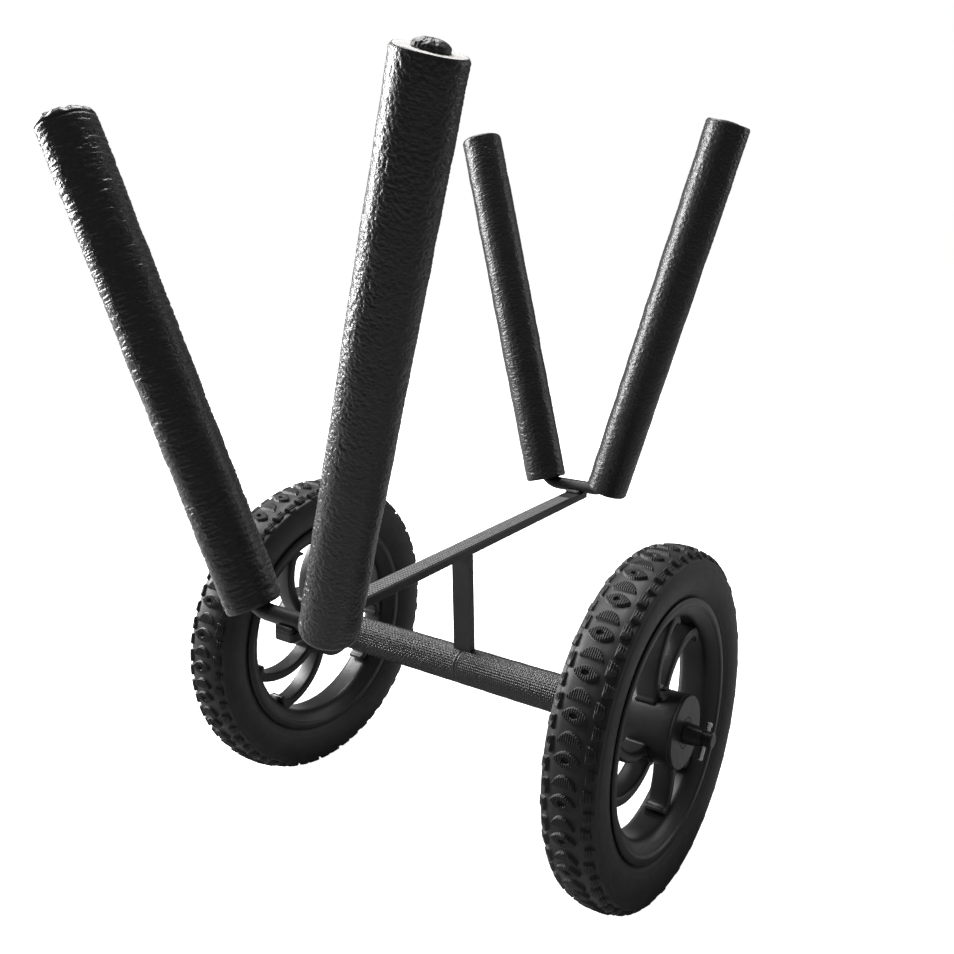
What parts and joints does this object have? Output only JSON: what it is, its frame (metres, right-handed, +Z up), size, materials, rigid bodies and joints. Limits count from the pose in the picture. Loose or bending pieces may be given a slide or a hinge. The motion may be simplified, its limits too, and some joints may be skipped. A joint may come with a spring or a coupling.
{
  "type": "kayak dolly",
  "caption": "Two-wheeled dolly for a kayak, canoe or paddle board: a flat bar on a post over a wide axle, with a padded V cradle at each end and pneumatic wheels held by pins",
  "frame": {"origin": "on the ground plane, under the middle of the axle", "axes": "X along the axle, Y along the bar, Z up"},
  "size_m": [0.522, 0.5662, 0.6937],
  "materials": {
    "frame_paint": "semi-gloss black powder coat on steel",
    "grip_strip": "dark grey rubber strip with a fine dimple pattern",
    "axle_black": "satin black",
    "sleeve_fabric": "black woven cover, finely gathered, slight sheen",
    "foam": "pale closed-cell foam, cut ends",
    "plug": "black moulded plastic",
    "tyre": "black tread rubber",
    "rubber": "black butyl rubber",
    "wheel_plastic": "black moulded nylon, satin",
    "bush_nylon": "dark nylon",
    "steel": "bright zinc-plated steel"
  },
  "bodies": {
    "frame": {"main_bar": "frame_paint", "bar_grip": "grip_strip", "post": "frame_paint", "post_gusset": "frame_paint", "axle_tube": "frame_paint", "axle_rod": "axle_black", "axle_foam_left": "foam", "axle_cover_left": "sleeve_fabric", "thrust_washer_left": "steel", "hub_spacer_left": "axle_black", "axle_foam_right": "foam", "axle_cover_right": "sleeve_fabric", "thrust_washer_right": "steel", "hub_spacer_right": "axle_black", "cradle_tube_front": "frame_paint", "cradle_weld_front": "frame_paint", "arm_foam_front_left": "foam", "arm_cover_front_left": "sleeve_fabric", "arm_plug_front_left": "plug", "arm_foam_front_right": "foam", "arm_cover_front_right": "sleeve_fabric", "arm_plug_front_right": "plug", "cradle_tube_rear": "frame_paint", "cradle_weld_rear": "frame_paint", "arm_foam_rear_left": "foam", "arm_cover_rear_left": "sleeve_fabric", "arm_plug_rear_left": "plug", "arm_foam_rear_right": "foam", "arm_cover_rear_right": "sleeve_fabric", "arm_plug_rear_right": "plug"},
    "wheel_left": {"rim_left": "wheel_plastic", "wheel_centre_left": "wheel_plastic", "bush_outer_left": "bush_nylon", "bush_inner_left": "bush_nylon", "hub_disc_outer_left": "wheel_plastic", "hub_disc_inner_left": "wheel_plastic", "tyre_left": "tyre", "inner_tube_left": "rubber", "valve_left": "rubber", "valve_cap_left": "plug"},
    "wheel_right": {"rim_right": "wheel_plastic", "wheel_centre_right": "wheel_plastic", "bush_outer_right": "bush_nylon", "bush_inner_right": "bush_nylon", "hub_disc_outer_right": "wheel_plastic", "hub_disc_inner_right": "wheel_plastic", "tyre_right": "tyre", "inner_tube_right": "rubber", "valve_right": "rubber", "valve_cap_right": "plug"},
    "pin_left": {"axle_pin_left": "steel"},
    "pin_right": {"axle_pin_right": "steel"}
  },
  "joints": [
    {"name": "wheel_left_spin", "type": "hinge", "parent": "frame", "child": "wheel_left", "pos_m": [-0.204, 0, 0.15875], "axis": [1, 0, 0], "continuous": true},
    {"name": "wheel_right_spin", "type": "hinge", "parent": "frame", "child": "wheel_right", "pos_m": [0.204, 0, 0.15875], "axis": [1, 0, 0], "continuous": true},
    {"name": "pin_left_pull", "type": "slide", "parent": "frame", "child": "pin_left", "axis": [0, 0.6157, 0.788], "range_m": [0, 0.026]},
    {"name": "pin_right_pull", "type": "slide", "parent": "frame", "child": "pin_right", "axis": [0, 0.6157, 0.788], "range_m": [0, 0.026]}
  ]
}
